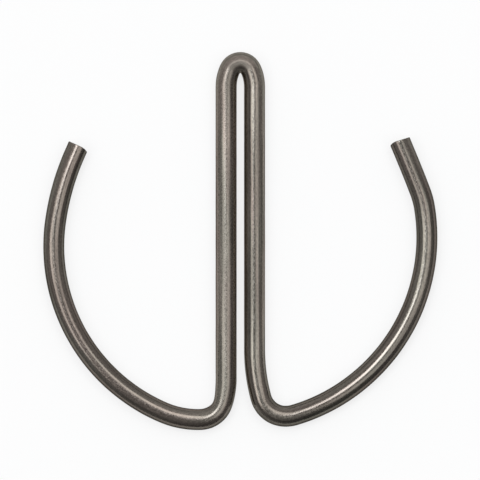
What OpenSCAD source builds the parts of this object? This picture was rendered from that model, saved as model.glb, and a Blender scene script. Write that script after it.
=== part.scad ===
// Socket retaining ring: one length of round spring wire, bent flat.
// A hairpin tang crosses the ring through the middle. Its two feet turn out and up into arms
// that lie in the groove round a drive socket, while the tang pins the socket to its drive.
// The wire lies on z = 0, the ring's centre is the origin and the tang's crown points to +Y.
// The free arms sprang back unevenly, so each side of the ring has sizes of its own.
// Every bend is given by its inside radius, that of the pin it was formed round.

/* [Wire] */
// Diameter of the spring wire
wire_d = 2.5; // [1.5:0.1:3]
// Radius of the nearly straight stretch at each end of the wire
end_r = 150; // [60:5:400]

/* [Tang] */
// From the ring's centre to the outside of the tang's crown
tang_reach = 22.25; // [15:0.25:35]
// Clear gap between the tang's two legs
leg_gap = 0.85; // [0.6:0.05:3]
// Radius of the crown's tight core
crown_r = 0.1; // [0.05:0.05:0.25]
// Radius of the crown's gentler shoulders, which meet the legs
crown_shoulder_r = 3.75; // [2:0.25:12]

/* [Left foot] */
// Radius where the left leg starts to turn out
left_lead_in_r = 8.25; // [2:0.25:30]
// Angle turned at that radius
left_lead_in_deg = 18; // [2:1:25]
// Radius of the left foot's tight core
left_foot_r = 1.5; // [0.5:0.25:2]
// Radius where the left foot eases into the arm
left_lead_out_r = 9.25; // [2:0.25:15]
// Angle turned at that radius
left_lead_out_deg = 25; // [2:1:35]

/* [Left arm] */
// Radius of the left arm
left_arm_r = 20.05; // [17:0.05:26]
// How far the left arm's centre lies out from the tang's axis
left_arm_out = 0.7; // [-1:0.1:2]
// How far the left arm's centre lies above the ring's, towards the crown
left_arm_up = -0.7; // [-2:0.1:2]
// How far above the ring's cross axis the left arm's round ends
left_arm_end_deg = 8; // [-20:1:20]
// Radius of the flatter bend that follows it
left_tip_r = 28.75; // [5:0.25:40]
// Angle turned at that radius
left_tip_deg = 16; // [1:1:30]
// Length of the nearly straight stretch at the left tip
left_tip_len = 1; // [1:0.05:12]

/* [Left cut end] */
// Lean of the left cut, positive where the outside is the shorter side
left_cut_deg = 0; // [-10:1:10]
// Radius that the shear rolled the inner edge over to
left_roll_r = 1.7; // [1.2:0.1:4]
// Width of that rolled edge, across the wire
left_roll_w = 0.95; // [0.1:0.05:1]

/* [Right foot] */
// Radius where the right leg starts to turn out
right_lead_in_r = 20.75; // [2:0.25:30]
// Angle turned at that radius
right_lead_in_deg = 15; // [2:1:25]
// Radius of the right foot's tight core
right_foot_r = 1.75; // [0.5:0.25:2]
// Radius where the right foot eases into the arm
right_lead_out_r = 2.5; // [2:0.25:15]
// Angle turned at that radius
right_lead_out_deg = 16; // [2:1:35]

/* [Right arm] */
// Radius of the right arm
right_arm_r = 20.65; // [17:0.05:26]
// How far the right arm's centre lies out from the tang's axis
right_arm_out = 0.1; // [-1:0.1:2]
// How far the right arm's centre lies above the ring's, towards the crown
right_arm_up = 0.4; // [-2:0.1:2]
// How far above the ring's cross axis the right arm's round ends
right_arm_end_deg = 9; // [-20:1:20]
// Radius of the tighter bend that follows it
right_tip_r = 8.75; // [5:0.25:40]
// Angle turned at that radius
right_tip_deg = 12; // [1:1:30]
// Length of the nearly straight stretch at the right tip
right_tip_len = 6.45; // [1:0.05:12]

/* [Right cut end] */
// Lean of the right cut, positive where the outside is the shorter side
right_cut_deg = 6; // [-10:1:10]
// Radius that the shear rolled the inner edge over to
right_roll_r = 1.3; // [1.2:0.1:4]
// Width of that rolled edge, across the wire
right_roll_w = 0.85; // [0.1:0.05:1]

/* [Hidden] */
$fn = 96;
wire_color = [0.36, 0.33, 0.31];
wire_r = wire_d / 2;

// Bends meet at whole microns and thousandths of a degree, so that their ends match exactly.
function whole(value) = round(value * 1000) / 1000;
function direction(deg) = [cos(deg), sin(deg), 0];

// The crown's shoulders turn until its core fits between the two legs.
shoulder_deg = whole(acos((crown_shoulder_r - leg_gap / 2) / (crown_shoulder_r - crown_r)));
shoulder_step = (crown_shoulder_r - crown_r) * direction(shoulder_deg);
leg_top_y = whole(tang_reach - wire_d - crown_r - shoulder_step.y);
// The legs run parallel, each this far from the tang's axis, which comes to half their spacing
leg_x = crown_shoulder_r + wire_r - shoulder_step.x;

// A foot is a run of tangent bends from the leg to the arm. From one bend to the next the
// centre moves along the line through their joint, by the difference of the two radii.
// The whole turn is the one that brings the centre of the last bend, the arm, to its place.
function foot_turn(lead_in_r, lead_in_deg, foot_r, lead_out_r, lead_out_deg, arm_r, arm_out) =
    let (
        ahead = (lead_out_r - foot_r) * cos(lead_out_deg) + arm_r - lead_out_r,
        aside = (lead_out_r - foot_r) * sin(lead_out_deg),
        across = arm_out - leg_x - wire_r - lead_in_r - (foot_r - lead_in_r) * cos(lead_in_deg)
    )
    atan2(aside, ahead) + acos(across / norm([ahead, aside]));

// How far the arm's centre then lies above the end of the leg.
function foot_rise(lead_in_r, lead_in_deg, foot_r, lead_out_r, lead_out_deg, arm_r, turn) =
    (foot_r - lead_in_r) * sin(lead_in_deg)
    + (lead_out_r - foot_r) * sin(turn - lead_out_deg)
    + (arm_r - lead_out_r) * sin(turn);

// The centres of a run of bends. Each row of bends holds an inside radius and the direction,
// seen from that bend's centre, in which it starts. It ends where the next row starts.
function centres(first, bends) = [
    for (
        i = 0, at = first;
        i < len(bends);
        i = i + 1, at = i < len(bends) ? at + (bends[i - 1].x - bends[i].x) * direction(bends[i].y) : at
    ) at
];

// Moves to a bend's centre in two steps, so that no decimal of it is lost on the way.
module place(at) {
    near = [whole(at.x), whole(at.y), whole(at.z)];
    translate(near) translate(at - near) children();
}

// Round wire bent about one centre, from one direction to another.
module bend(at, inside_r, from_deg, to_deg) {
    place(at)
        rotate_extrude(start = from_deg, angle = to_deg - from_deg)
            translate([inside_r + wire_r, 0]) circle(d = wire_d);
}

// All bends of a run but the last, which only a tip has after it.
module bend_run(at, bends) {
    for (i = [0 : len(bends) - 2])
        bend(at[i], bends[i].x, bends[i].y, bends[i + 1].y);
}

// Plan of the metal that the shear leaves behind a cut along y = 0, with room round the wire.
// The blade came in from -X and rolled that edge over.
module sheared_plan(length, roll_r, roll_w) {
    roll_x = roll_w - wire_r;
    room = length + wire_d + roll_r;
    translate([roll_x, -room]) square([room, room]);
    translate([roll_x, -roll_r]) circle(r = roll_r);
    translate([roll_x - room, -room]) square([room, room - roll_r]);
}

// The last stretch of an arm, sheared to length.
module tip(at, from_deg, length, cut_deg, roll_r, roll_w) {
    centre_r = end_r + wire_r;
    cut_at_deg = from_deg + length / centre_r * 180 / PI;
    uncut_deg = whole(cut_at_deg + wire_d / centre_r * 180 / PI);
    intersection() {
        bend(at, end_r, from_deg, uncut_deg);
        translate(at + centre_r * direction(cut_at_deg))
            rotate(cut_at_deg - cut_deg)
            linear_extrude(height = 2 * wire_d, center = true)
            sheared_plan(length, roll_r, roll_w);
    }
}

// The fold that joins the tops of the two legs: a tight core between gentler shoulders.
module crown() {
    bends = [
        [crown_shoulder_r, 0],
        [crown_r, shoulder_deg],
        [crown_shoulder_r, 180 - shoulder_deg],
        [crown_shoulder_r, 180]
    ];
    bend_run(centres([-shoulder_step.x, leg_top_y, wire_r], bends), bends);
}

// One leg with its foot, arm and tip, in the order in which the wire was bent.
module side(
    lead_in_r, lead_in_deg, foot_r, lead_out_r, lead_out_deg,
    arm_r, arm_out, arm_up, arm_end_deg,
    tip_r, tip_deg, tip_len, cut_deg, roll_r, roll_w
) {
    turn = whole(foot_turn(
        lead_in_r, lead_in_deg, foot_r, lead_out_r, lead_out_deg, arm_r, arm_out
    ));
    rise = foot_rise(lead_in_r, lead_in_deg, foot_r, lead_out_r, lead_out_deg, arm_r, turn);
    leg_end_y = whole(arm_up - rise);
    bends = [
        [lead_in_r, 180],
        [foot_r, 180 + lead_in_deg],
        [lead_out_r, 180 + turn - lead_out_deg],
        [arm_r, 180 + turn],
        [tip_r, 360 + arm_end_deg],
        [end_r, 360 + arm_end_deg + tip_deg]
    ];
    at = centres([leg_x + wire_r + lead_in_r, leg_end_y, wire_r], bends);
    place([leg_x, leg_end_y, wire_r])
        rotate([-90, 0, 0]) cylinder(h = leg_top_y - leg_end_y, d = wire_d);
    bend_run(at, bends);
    tip(at[5], bends[5].y, tip_len, cut_deg, roll_r, roll_w);
}

module left_side() {
    mirror([1, 0, 0]) side(
        lead_in_r = left_lead_in_r,
        lead_in_deg = left_lead_in_deg,
        foot_r = left_foot_r,
        lead_out_r = left_lead_out_r,
        lead_out_deg = left_lead_out_deg,
        arm_r = left_arm_r,
        arm_out = left_arm_out,
        arm_up = left_arm_up,
        arm_end_deg = left_arm_end_deg,
        tip_r = left_tip_r,
        tip_deg = left_tip_deg,
        tip_len = left_tip_len,
        cut_deg = left_cut_deg,
        roll_r = left_roll_r,
        roll_w = left_roll_w
    );
}

module right_side() {
    side(
        lead_in_r = right_lead_in_r,
        lead_in_deg = right_lead_in_deg,
        foot_r = right_foot_r,
        lead_out_r = right_lead_out_r,
        lead_out_deg = right_lead_out_deg,
        arm_r = right_arm_r,
        arm_out = right_arm_out,
        arm_up = right_arm_up,
        arm_end_deg = right_arm_end_deg,
        tip_r = right_tip_r,
        tip_deg = right_tip_deg,
        tip_len = right_tip_len,
        cut_deg = right_cut_deg,
        roll_r = right_roll_r,
        roll_w = right_roll_w
    );
}

// The whole ring is one piece of wire.
module retaining_ring() {
    color(wire_color) {
        crown();
        left_side();
        right_side();
    }
}

retaining_ring();
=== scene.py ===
"""Looks of a socket retaining ring: one dark spring-steel wire, bent into a ring with a hairpin tang.

Everything is in metres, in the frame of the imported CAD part. The wire is swept again along the middle
line of the CAD solid, finely enough for its drawn surface, its worn bends and its sheared ends.
"""

import math

import bpy
import numpy as np
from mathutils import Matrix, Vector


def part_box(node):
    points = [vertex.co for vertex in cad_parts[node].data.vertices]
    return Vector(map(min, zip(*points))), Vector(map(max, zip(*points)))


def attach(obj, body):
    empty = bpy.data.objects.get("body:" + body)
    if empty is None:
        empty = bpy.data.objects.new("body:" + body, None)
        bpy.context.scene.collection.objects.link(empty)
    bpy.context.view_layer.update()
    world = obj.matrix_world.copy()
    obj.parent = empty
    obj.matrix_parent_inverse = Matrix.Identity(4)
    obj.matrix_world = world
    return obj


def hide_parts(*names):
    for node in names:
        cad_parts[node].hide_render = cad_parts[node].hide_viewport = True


MM = 0.001
SEED = 20

# Reading the wire from the CAD mesh
SAME = 0.001 * MM  # points closer than this are one
FACES_CUT = 0.5  # a face of a cut looks along the wire by more than this
CUT_REACH = 4.5 * MM  # and its middle is no further than this from the last station
EASE = 0.2 * MM  # how far a change of bend spreads along the wire
EASE_TAILS = 3  # how many of these the spread is followed for
FOOT_CORE = 0.8  # a foot's core bends by more than this share of the tightest foot's bend

# The wire's mesh
RING_STEP = 0.2 * MM
LINE_STEP = RING_STEP / 4  # spacing at which the middle line is worked out
SIDES = 72
END_ZONE = 3.0 * MM  # the stretch over which the rings lean until they follow the cut
EDGE_ROUND = 0.07 * MM  # the worn edge between the wire's side and its cut face
EDGE_RINGS = 4
CUT_RINGS = 14

# Drawing marks: shallow waves of the surface, all inwards
WAVE_COUNT = 70
WAVE_LENGTHS = (1.5 * MM, 14.0 * MM)
WAVE_TURNS = 4  # how often a wave may wind round the wire, either way
WAVE_DEPTH = 0.012 * MM
WAVE_REACH = 3  # standard deviations of the waves' sum that fill half the depth
WAVE_FADE = 4  # the power of the radius by which they fade towards the middle of a cut

# The flat that the bending pin pressed into the inside of the left foot
PIN_DEPTH = 0.18 * MM
PIN_REACH = 1.1 * MM
PIN_EDGE = 0.3  # where the flat begins, as an offset across in radii

# The steel's colours
STEEL_GREEN = (0.173, 0.161, 0.138, 1)
STEEL_BROWN = (0.184, 0.156, 0.136, 1)
EDGE_TINT = (0.3, 0.3, 0.3, 1)  # how much of the reflection the oxide leaves at a grazing angle

# Its patterns of noise, as (scale per millimetre, share of that scale along the wire)
GRAIN = (7.0, 0.6)
LINES = (3.0, 0.03)
STRIPES = (1.2, 0.06)
NOISE_DETAIL = 1.0
NOISE_ROUGHNESS = 0.5
# The range of each noise that its effect is spread over
GRAIN_RANGE = (0.2, 0.8)
LINE_RANGE = (0.25, 0.75)
STRIPE_RANGE = (0.3, 0.7)
# The shade that the grain and the lines give at either end of it, and how much each raises the surface
GRAIN_SHADES = (0.8, 1.2)
LINE_SHADES = (0.72, 1.28)
GRAIN_HEIGHT = 0.25
LINE_HEIGHT = 1.8

# The drawn side and the sheared cuts, as (roughness, depth of the marks)
DRAWN = (0.20, 0.003 * MM)
SHEARED = (0.42, 0.02 * MM)
GRAIN_ROUGH = 0.06  # how far the grain changes the roughness, either way

# The arms' flanks are darker, a painted shade that begins and ends at these offsets across, in radii
PAINTED_FLANK_SPAN = (0.45, 0.75)
PAINTED_FLANK_SHADE = 0.74

# The tightest bend is the roughest
TIGHT = 0.9  # the wire's radius over that of the bend, from which the surface is as rough as it gets
TIGHT_FROM = 0.3  # the share of that at which it begins to roughen
TIGHT_ROUGH = 0.22

# The tang is painted a little paler than the arms, a painted light, and its left leg is duller
TANG_FADE = 3.0 * MM  # the stretch over which one of these looks gives way to the next
TANG_PAINTED_PALENESS = 1.1
DULL_ROUGH = 0.1
# Painted light and shade across the tang's wire, gap's side outwards, as (from, to, before, after), offsets
# in radii
TANG_PAINTED_LIGHT_SHADES = (
    (-0.85, -0.50, 2.20, 1.0),  # the walls of the gap, paler again: painted light from the floor's bounce
    (-0.42, -0.20, 0.62, 1.0),  # the sides towards the gap, darker: painted shade between the legs
    (0.0, 0.50, 1.0, 1.16),  # the outer sides, paler: painted light
)

# The picture
VIEW_CENTRE = (-0.04 * MM, 0.06 * MM)
VIEW_SHARE = 1.2174  # the picture's width, in widths of the ring
VIEW_DISTANCE = 1.0
VIEW_CLIP = (0.01, 20.0)
SENSOR = 36.0

# The studio: soft boxes round the camera, each with its bearing from +X, angle from straight up, width,
# height, light and colour
COOL = (0.91, 0.95, 1.0)
PLAIN = (1.0, 1.0, 1.0)
LAMP_DISTANCE = 1.0
LAMPS = (
    ("key", 137, 18, 0.44, 0.28, 6.3, COOL),
    ("left", 190, 30, 0.44, 0.50, 2.4, PLAIN),
    ("top", 72, 27, 0.46, 0.60, 2.2, PLAIN),
    ("right", -15, 28, 0.70, 0.80, 1.15, PLAIN),
)
DOME = 0.44
DOME_LEAN = (-0.2, 0.7, 0.0)  # how much brighter the room is towards its upper left than overall
FLOOR_SIZE = 6.0
FLOOR_WHITE = (0.97, 0.97, 0.97, 1)
FLOOR_GLOW = 0.75  # the share of the floor that the camera and the metal see as plain white, unshadowed


# ---------------------------------------------------------------- the wire's middle line, from the CAD


def mesh_points(mesh):
    """The CAD mesh's points with doubles merged, its edges and faces by point number, and its normals."""
    places = np.zeros(len(mesh.vertices) * 3, np.float32)
    mesh.vertices.foreach_get("co", places)
    points, number = np.unique(places.reshape(-1, 3), axis=0, return_inverse=True)
    number = number.ravel()
    edges = np.zeros(len(mesh.edges) * 2, np.int32)
    mesh.edges.foreach_get("vertices", edges)
    corners = np.zeros(len(mesh.loops), np.int32)
    mesh.loops.foreach_get("vertex_index", corners)
    normals = np.zeros(len(mesh.polygons) * 3, np.float32)
    mesh.polygons.foreach_get("normal", normals)
    edges = number[edges].reshape(-1, 2)
    faces = number[corners].reshape(-1, 3)
    return points.astype(float), edges, faces, normals.reshape(-1, 3).astype(float)


def opposite_pairs(points, radius):
    """Pairs of the wire's outermost points, numbered, that face each other squarely across it."""
    level = np.where(abs(points[:, 2] - points[:, 2].min() - radius) < SAME)[0]
    plan = points[level, :2]
    apart = abs(np.linalg.norm(plan[:, None] - plan[None], axis=2) - 2 * radius)
    other = apart.argmin(1)
    mutual = (other[other] == np.arange(len(level))) & (apart.min(1) < SAME)
    return [(level[k], level[other[k]]) for k in np.where(mutual)[0] if k < other[k]]


def in_order(pairs, edges, points):
    """The pairs in the order in which the wire passes through them, from its left end."""
    station = {int(point): k for k, pair in enumerate(pairs) for point in pair}
    links = [set() for _ in pairs]
    for a, b in edges:
        here, there = station.get(int(a)), station.get(int(b))
        if here is not None and there is not None and here != there:
            links[here].add(there)
            links[there].add(here)
    ends = [k for k, linked in enumerate(links) if len(linked) == 1]
    walk = [min(ends, key=lambda k: points[pairs[k][0], 0])]
    while ahead := [k for k in links[walk[-1]] if k not in walk[-2:]]:
        walk.append(ahead[0])
    return [pairs[k] for k in walk]


def unit(vectors):
    return vectors / np.linalg.norm(vectors, axis=-1, keepdims=True)


def stations(points, edges, radius):
    """Rows of (length along the wire, x, y, direction x, direction y) down the wire's middle line."""
    pairs = np.array(in_order(opposite_pairs(points, radius), edges, points))
    one, other = points[pairs[:, 0], :2], points[pairs[:, 1], :2]
    middle = (one + other) / 2
    across = unit(one - other)
    direction = np.stack([across[:, 1], -across[:, 0]], 1)
    ahead = np.concatenate([np.diff(middle, axis=0), middle[-1:] - middle[-2:-1]])
    direction *= np.sign((direction * ahead).sum(1))[:, None]
    chord = np.linalg.norm(np.diff(middle, axis=0), axis=1)
    half_turn = np.arccos(np.clip((direction[1:] * direction[:-1]).sum(1), -1, 1)) / 2
    arc = chord / np.sinc(half_turn / math.pi)
    return np.column_stack([np.concatenate([[0], np.cumsum(arc)]), middle, direction])


def through_stations(rows, at):
    """Places at the lengths `at`, on one smooth line through the stations, and straight on past them."""
    k = np.clip(np.searchsorted(rows[:, 0], at) - 1, 0, len(rows) - 2)
    a, b = rows[k], rows[k + 1]
    step = (b[:, 0] - a[:, 0])[:, None]
    t = np.clip((at - a[:, 0])[:, None] / step, 0, 1)
    inside = (
        (2 * t**3 - 3 * t**2 + 1) * a[:, 1:3]
        + (t**3 - 2 * t**2 + t) * step * a[:, 3:5]
        + (3 * t**2 - 2 * t**3) * b[:, 1:3]
        + (t**3 - t**2) * step * b[:, 3:5]
    )
    before = np.minimum(at - rows[0, 0], 0)[:, None] * rows[0, 3:5]
    after = np.maximum(at - rows[-1, 0], 0)[:, None] * rows[-1, 3:5]
    return inside + before + after


def eased(line):
    """The line with each change of bend spread over EASE, and its ends kept."""
    reach = int(EASE_TAILS * EASE / LINE_STEP)
    offsets = np.arange(-reach, reach + 1)
    weights = np.exp(-0.5 * (offsets * LINE_STEP / EASE) ** 2)
    weights /= weights.sum()
    first = 2 * line[0] - line[reach:0:-1]
    last = 2 * line[-1] - line[-2 : -reach - 2 : -1]
    longer = np.concatenate([first, line, last])
    return np.stack([np.convolve(longer[:, k], weights, "valid") for k in (0, 1)], 1)


def cut_line(points, faces, normals, row, outwards):
    """Where a cut runs across the wire, as (offsets across, lengths along). row is the last station
    before it, and outwards is 1 at the wire's far end and -1 at its near one."""
    along, place, ahead = row[0], row[1:3], row[3:5]
    across = np.array([-ahead[1], ahead[0]])
    facing = normals[:, :2] @ ahead * outwards > FACES_CUT
    near = np.linalg.norm(points[faces].mean(1)[:, :2] - place, axis=1) < CUT_REACH
    found = np.unique(faces[facing & near])
    offset = (points[found, :2] - place) @ across
    length = along + (points[found, :2] - place) @ ahead
    order = np.argsort(offset)
    return offset[order], length[order]


class Wire:
    """The wire's middle line, how it bends, and where its two cuts run across it."""

    def __init__(self, node):
        low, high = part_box(node.name)
        self.radius = (high.z - low.z) / 2
        self.height = low.z + self.radius
        points, edges, faces, normals = mesh_points(node.data)
        rows = stations(points, edges, self.radius)
        near_cut = cut_line(points, faces, normals, rows[0], -1)
        far_cut = cut_line(points, faces, normals, rows[-1], 1)
        self.cuts = (near_cut, far_cut)
        self.start = near_cut[1].min()
        self.end = far_cut[1].max()
        self.at = np.arange(self.start - END_ZONE, self.end + END_ZONE, LINE_STEP)
        self.line = eased(through_stations(rows, self.at))
        self.ahead = unit(np.gradient(self.line, axis=0))
        self.bend = self.bend_to_the_left()
        self.left_foot, self.right_foot = self.leg_ends()
        self.crown = self.at[self.bend.argmin()]

    def bend_to_the_left(self):
        """One over the radius of the bend: positive in the feet and arms, negative in the crown."""
        turning = np.gradient(self.ahead, LINE_STEP, axis=0)
        return self.ahead[:, 0] * turning[:, 1] - self.ahead[:, 1] * turning[:, 0]

    def leg_ends(self):
        """Where each leg meets the tight core of its foot, as lengths along the wire."""
        tight = self.at[self.bend > FOOT_CORE * self.bend.max()]
        middle = (self.start + self.end) / 2
        return tight[tight < middle].max(), tight[tight > middle].min()

    def place(self, along):
        return np.stack([np.interp(along, self.at, self.line[:, k]) for k in (0, 1)], -1)

    def across(self, along):
        """The level direction to the left of the wire's run, which on the tang is away from the gap."""
        ahead = unit(np.stack([np.interp(along, self.at, self.ahead[:, k]) for k in (0, 1)], -1))
        return np.stack([-ahead[..., 1], ahead[..., 0]], -1)

    def tightness(self, along):
        """From 0 where the wire is straight to 1 where it is bent the tightest."""
        return np.clip(self.radius * abs(np.interp(along, self.at, self.bend)) / TIGHT, 0, 1)

    def between(self, along, first, last):
        """From 0 outside a stretch of the wire to 1 in it, with a fade centred on each of its ends."""
        return np.clip(np.minimum(along - first, last - along) / TANG_FADE + 0.5, 0, 1)


# ---------------------------------------------------------------- the wire's mesh


def wave_depth(along, angle):
    """How far the drawn and handled surface lies below a true cylinder."""
    random = np.random.default_rng(SEED)
    total = np.zeros(np.shape(along))
    short, long = WAVE_LENGTHS
    for _ in range(WAVE_COUNT):
        wave = short * (long / short) ** random.random()
        turns = random.integers(-WAVE_TURNS, WAVE_TURNS + 1)
        phase = random.random() * 2 * math.pi
        height = (wave / long) ** 0.5
        total += height * np.cos(2 * math.pi * along / wave + turns * angle + phase)
    total /= WAVE_REACH * np.std(total)
    return WAVE_DEPTH * np.clip(0.5 + 0.5 * total, 0, 1)


def pin_flat(wire, along, offset):
    """How far the bending pin pressed in the inside of the left foot."""
    near = np.exp(-0.5 * ((along - wire.left_foot) / PIN_REACH) ** 2)
    inside = np.clip((offset / wire.radius - PIN_EDGE) / (1 - PIN_EDGE), 0, 1)
    return PIN_DEPTH * near * inside


def side_angles():
    return np.arange(SIDES) * 2 * math.pi / SIDES


def end_rings(wire, cut, inwards):
    """The rings of one end, from the wire's side over its worn edge to the middle of the cut face."""
    turn = np.linspace(0, math.pi / 2, EDGE_RINGS + 1)
    edge_radii = wire.radius - EDGE_ROUND * (1 - np.cos(turn))
    face_radii = (wire.radius - EDGE_ROUND) * np.linspace(1, 0, CUT_RINGS + 1)[1:-1]
    radii = np.concatenate([edge_radii, face_radii])
    insets = EDGE_ROUND * (1 - np.sin(turn))
    rings = []
    for number, radius in enumerate(radii):
        along = np.interp(radius * np.cos(side_angles()), *cut)
        if number < EDGE_RINGS:
            along = along + inwards * insets[number]
        rings.append((along, radius, number >= EDGE_RINGS))
    return rings


def side_rings(wire, start, finish):
    """The rings between the two ends, which lean near them so as to follow the cuts."""
    count = round((wire.end - wire.start) / RING_STEP)
    rings = []
    for along in np.linspace(wire.start, wire.end, count + 1)[1:-1]:
        near_start = np.clip(1 - (along - wire.start) / END_ZONE, 0, 1)
        near_end = np.clip(1 - (wire.end - along) / END_ZONE, 0, 1)
        lean = near_start * (start - wire.start) + near_end * (finish - wire.end)
        rings.append((along + lean, wire.radius, False))
    return rings


def wire_rings(wire):
    """All rings, from the left cut's middle to the right one's: the length along the wire at each of a
    ring's points, its radius, and whether it lies on a cut face."""
    start = end_rings(wire, wire.cuts[0], 1)
    finish = end_rings(wire, wire.cuts[1], -1)
    rings = start[::-1] + side_rings(wire, start[0][0], finish[0][0]) + finish
    along = np.array([ring[0] for ring in rings])
    radius = np.array([ring[1] for ring in rings])[:, None]
    return along, radius, [ring[2] for ring in rings]


def wire_points(wire, along, radius):
    """The rings' points and then the middles of the two cuts, in the frame and in the straightened wire's
    own space of length along, offset across and height."""
    angle = side_angles()
    radius = radius - wave_depth(along, angle) * (radius / wire.radius) ** WAVE_FADE
    offset = radius * np.cos(angle)
    offset = offset - pin_flat(wire, along, offset)
    rise = radius * np.sin(angle)
    plan = wire.place(along) + offset[..., None] * wire.across(along)
    points = np.concatenate([plan, (wire.height + rise)[..., None]], -1).reshape(-1, 3)
    straight = np.stack([along, offset, rise], -1).reshape(-1, 3)
    middles = [np.interp(0, *cut) for cut in wire.cuts]
    points = np.concatenate([points, [(*wire.place(middle), wire.height) for middle in middles]])
    straight = np.concatenate([straight, [(middle, 0, 0) for middle in middles]])
    return points, straight


def wire_faces(on_cut):
    """Squares between the rings and a fan in the middle of each cut, and for each face whether it is cut."""
    faces, cut = [], []
    for k in range(len(on_cut) - 1):
        for j in range(SIDES):
            a, b = k * SIDES + j, k * SIDES + (j + 1) % SIDES
            faces.append((a, a + SIDES, b + SIDES, b))
            cut.append(on_cut[k] and on_cut[k + 1])
    last = (len(on_cut) - 1) * SIDES
    near_middle = len(on_cut) * SIDES
    far_middle = near_middle + 1
    for j in range(SIDES):
        after = (j + 1) % SIDES
        faces.append((near_middle, j, after))
        faces.append((far_middle, last + after, last + j))
        cut += [True, True]
    return faces, cut


def store(mesh, name, values):
    """Keeps a number for each point of the mesh, which the materials read. The cuts' middles have 0."""
    attribute = mesh.attributes.new(name, "FLOAT", "POINT")
    attribute.data.foreach_set("value", np.append(values.ravel(), [0, 0]).astype(np.float32))


def build_wire(wire, drawn, sheared):
    """The whole ring: one piece, drawn steel with sheared cuts."""
    along, radius, on_cut = wire_rings(wire)
    points, straight = wire_points(wire, along, radius)
    faces, cut = wire_faces(on_cut)
    mesh = bpy.data.meshes.new("ring_wire")
    mesh.from_pydata(points.tolist(), [], faces)
    mesh.materials.append(drawn)
    mesh.materials.append(sheared)
    mesh.polygons.foreach_set("material_index", [int(is_cut) for is_cut in cut])
    mesh.polygons.foreach_set("use_smooth", [True] * len(faces))
    attribute = mesh.attributes.new("straight", "FLOAT_VECTOR", "POINT")
    attribute.data.foreach_set("vector", (straight / MM).astype(np.float32).ravel())
    store(mesh, "tight", wire.tightness(along))
    store(mesh, "tang", wire.between(along, wire.left_foot, wire.right_foot))
    store(mesh, "dull", wire.between(along, wire.left_foot, wire.crown))
    mesh.validate()
    mesh.update()
    piece = bpy.data.objects.new("ring_wire", mesh)
    bpy.context.scene.collection.objects.link(piece)
    return piece


# ---------------------------------------------------------------- materials


class Nodes:
    """A small helper that adds linked shader nodes to a material or a world."""

    def __init__(self, owner):
        owner.use_nodes = True
        self.tree = owner.node_tree
        self.tree.nodes.clear()

    def add(self, kind, links=(), **settings):
        """Adds a node. links is (input name or number, value or output socket) pairs."""
        node = self.tree.nodes.new(kind)
        for name, value in settings.items():
            setattr(node, name, value)
        for name, value in links:
            if isinstance(value, bpy.types.NodeSocket):
                self.tree.links.new(value, node.inputs[name])
            else:
                node.inputs[name].default_value = value
        return node

    def mark(self, name):
        """A number that the mesh keeps for each of its points."""
        return self.add("ShaderNodeAttribute", attribute_name=name).outputs["Fac"]

    def maths(self, operation, a, b=0.0):
        return self.add("ShaderNodeMath", [(0, a), (1, b)], operation=operation).outputs[0]

    def noise(self, vector, scale, along):
        """Noise in the straightened wire's own space, in millimetres."""
        placed = self.add("ShaderNodeMapping", [("Vector", vector), ("Scale", (along, 1, 1))])
        return self.add("ShaderNodeTexNoise", [
            ("Vector", placed.outputs[0]),
            ("Scale", scale),
            ("Detail", NOISE_DETAIL),
            ("Roughness", NOISE_ROUGHNESS),
        ]).outputs[0]

    def mix(self, factor, a, b):
        """a mixed with b. A Mix node's inputs 6 and 7 are its colours, and its output 2 is theirs."""
        return self.add("ShaderNodeMix", [(0, factor), (6, a), (7, b)], data_type="RGBA").outputs[2]

    def spread(self, value, low, high, to_low=0.0, to_high=1.0):
        """value stretched so that low gives to_low and high gives to_high, and held there beyond them."""
        links = [
            ("Value", value),
            ("From Min", low),
            ("From Max", high),
            ("To Min", to_low),
            ("To Max", to_high),
        ]
        return self.add("ShaderNodeMapRange", links, interpolation_type="SMOOTHSTEP").outputs[0]


def painted_light_and_shade(n, across, radius):
    """The painted light and shade across the wire, before its patterns: the arms' painted darker flanks, and
    the tang's own.
    """
    # the arms' flanks darker: painted shade
    arm_painted_shade = n.spread(n.maths("ABSOLUTE", across), PAINTED_FLANK_SPAN[0] * radius, PAINTED_FLANK_SPAN[1] * radius, 1.0, PAINTED_FLANK_SHADE)
    # the tang's painted light and shade: paler overall, darker towards the gap, paler on its walls and
    # outside
    tang = TANG_PAINTED_PALENESS
    for low, high, before, after in TANG_PAINTED_LIGHT_SHADES:
        tang = n.maths("MULTIPLY", tang, n.spread(across, low * radius, high * radius, before, after))
    return n.spread(n.mark("tang"), 0.0, 1.0, arm_painted_shade, tang)


def steel_roughness(n, grain, rough):
    """Satin with the grain, rougher in tight bends, and duller on the tang's left leg."""
    roughness = n.spread(grain, *GRAIN_RANGE, rough - GRAIN_ROUGH, rough + GRAIN_ROUGH)
    roughness = n.maths("ADD", roughness, n.spread(n.mark("tight"), TIGHT_FROM, 1.0, 0.0, TIGHT_ROUGH))
    return n.maths("ADD", roughness, n.maths("MULTIPLY", n.mark("dull"), DULL_ROUGH))


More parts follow.
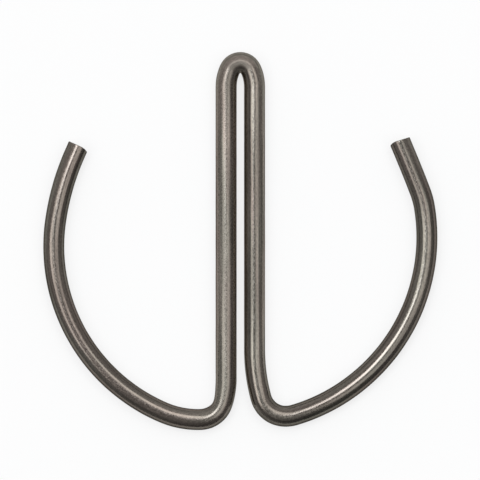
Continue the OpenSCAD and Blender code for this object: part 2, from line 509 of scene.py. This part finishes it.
def spring_steel(name, radius, rough, mark_depth):
    """Dark oil-tempered wire: a fine satin grain, lengthwise drawing lines, and brown and green stripes.
    radius is the wire's, in millimetres."""
    material = bpy.data.materials.new(name)
    n = Nodes(material)
    straight = n.add("ShaderNodeAttribute", attribute_name="straight").outputs["Vector"]
    across = n.add("ShaderNodeSeparateXYZ", [("Vector", straight)]).outputs["Y"]
    grain, lines, stripes = [n.noise(straight, *pattern) for pattern in (GRAIN, LINES, STRIPES)]
    # shade is the painted light and shade across the wire, then times the grain's and the lines' own tone
    shade = painted_light_and_shade(n, across, radius)
    shade = n.maths("MULTIPLY", shade, n.spread(grain, *GRAIN_RANGE, *GRAIN_SHADES))
    shade = n.maths("MULTIPLY", shade, n.spread(lines, *LINE_RANGE, *LINE_SHADES))
    tint = n.mix(n.spread(stripes, *STRIPE_RANGE), STEEL_BROWN, STEEL_GREEN)
    colour = n.add("ShaderNodeVectorMath", [(0, tint), (1, shade)], operation="MULTIPLY").outputs[0]
    height = n.maths("ADD", n.maths("MULTIPLY", grain, GRAIN_HEIGHT), n.maths("MULTIPLY", lines, LINE_HEIGHT))
    bump = n.add("ShaderNodeBump", [("Height", height), ("Strength", 1.0), ("Distance", mark_depth)])
    shader = n.add("ShaderNodeBsdfPrincipled", [
        ("Base Color", colour),
        ("Metallic", 1.0),
        ("Roughness", steel_roughness(n, grain, rough)),
        ("Specular Tint", EDGE_TINT),
        ("Normal", bump.outputs[0]),
    ])
    n.add("ShaderNodeOutputMaterial", [("Surface", shader.outputs[0])])
    return material


def floor_material():
    """A white floor with the ring's soft shadow on it."""
    material = bpy.data.materials.new("white_floor")
    n = Nodes(material)
    lit = n.add("ShaderNodeBsdfDiffuse", [("Color", FLOOR_WHITE)])
    plain = n.add("ShaderNodeEmission", [("Color", (1, 1, 1, 1)), ("Strength", 1.0)])
    ray = n.add("ShaderNodeLightPath").outputs
    seen = n.maths("MAXIMUM", ray["Is Camera Ray"], ray["Is Glossy Ray"])
    seen = n.maths("MAXIMUM", seen, ray["Is Transmission Ray"])
    glow = n.maths("MULTIPLY", seen, FLOOR_GLOW)
    surface = n.add("ShaderNodeMixShader", [(0, glow), (1, lit.outputs[0]), (2, plain.outputs[0])])
    n.add("ShaderNodeOutputMaterial", [("Surface", surface.outputs[0])])
    return material


# ---------------------------------------------------------------- the studio


def build_floor(height):
    bpy.ops.mesh.primitive_plane_add(size=FLOOR_SIZE, location=(0, 0, height))
    floor = bpy.context.object
    floor.name = "floor"
    floor.data.materials.append(floor_material())


def build_lamps():
    """Oval lamps that face the ring. Each one's light is how bright it looks, whatever its size."""
    for name, bearing, lean, width, height, light, colour in LAMPS:
        data = bpy.data.lights.new(name, "AREA")
        data.shape = "ELLIPSE"
        data.size = width
        data.size_y = height
        area = width * height * math.pi / 4
        data.energy = light * math.pi * area
        data.color = colour
        lamp = bpy.data.objects.new(name, data)
        a, b = math.radians(bearing), math.radians(lean)
        towards = np.array((math.cos(a) * math.sin(b), math.sin(a) * math.sin(b), math.cos(b)))
        lamp.location = LAMP_DISTANCE * towards
        lamp.rotation_euler = (0, b, a)
        bpy.context.scene.collection.objects.link(lamp)


def build_world():
    """A plain white room, brighter towards DOME_LEAN."""
    world = bpy.data.worlds.new("studio")
    n = Nodes(world)
    towards = n.add("ShaderNodeTexCoord").outputs["Generated"]
    lean = n.add("ShaderNodeVectorMath", [(0, towards), (1, DOME_LEAN)], operation="DOT_PRODUCT")
    links = [(0, lean.outputs["Value"]), (1, DOME), (2, DOME)]
    level = n.add("ShaderNodeMath", links, operation="MULTIPLY_ADD")
    room = n.add("ShaderNodeBackground", [("Color", (1, 1, 1, 1)), ("Strength", level.outputs[0])])
    n.add("ShaderNodeOutputWorld", [("Surface", room.outputs[0])])
    bpy.context.scene.world = world


def build_camera(width, height):
    data = bpy.data.cameras.new("camera")
    data.sensor_width = SENSOR
    data.lens = SENSOR * VIEW_DISTANCE / (width * VIEW_SHARE)
    data.clip_start, data.clip_end = VIEW_CLIP
    camera = bpy.data.objects.new("camera", data)
    camera.location = (*VIEW_CENTRE, height + VIEW_DISTANCE)
    bpy.context.scene.collection.objects.link(camera)
    bpy.context.scene.camera = camera


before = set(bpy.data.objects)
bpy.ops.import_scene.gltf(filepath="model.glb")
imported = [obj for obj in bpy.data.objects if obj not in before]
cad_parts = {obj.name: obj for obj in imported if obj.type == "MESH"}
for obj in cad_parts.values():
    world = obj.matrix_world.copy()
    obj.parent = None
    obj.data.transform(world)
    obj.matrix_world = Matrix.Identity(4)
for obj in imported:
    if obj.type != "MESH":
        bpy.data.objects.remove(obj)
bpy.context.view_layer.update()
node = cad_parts["retaining_ring"]
wire = Wire(node)
drawn = spring_steel("drawn_steel", wire.radius / MM, *DRAWN)
sheared = spring_steel("sheared_steel", wire.radius / MM, *SHEARED)
piece = build_wire(wire, drawn, sheared)
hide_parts("retaining_ring")
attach(piece, "root")

low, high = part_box("retaining_ring")
build_floor(low.z)
build_lamps()
build_world()
build_camera(high.x - low.x, wire.height)
bpy.context.scene.view_settings.view_transform = "Standard"
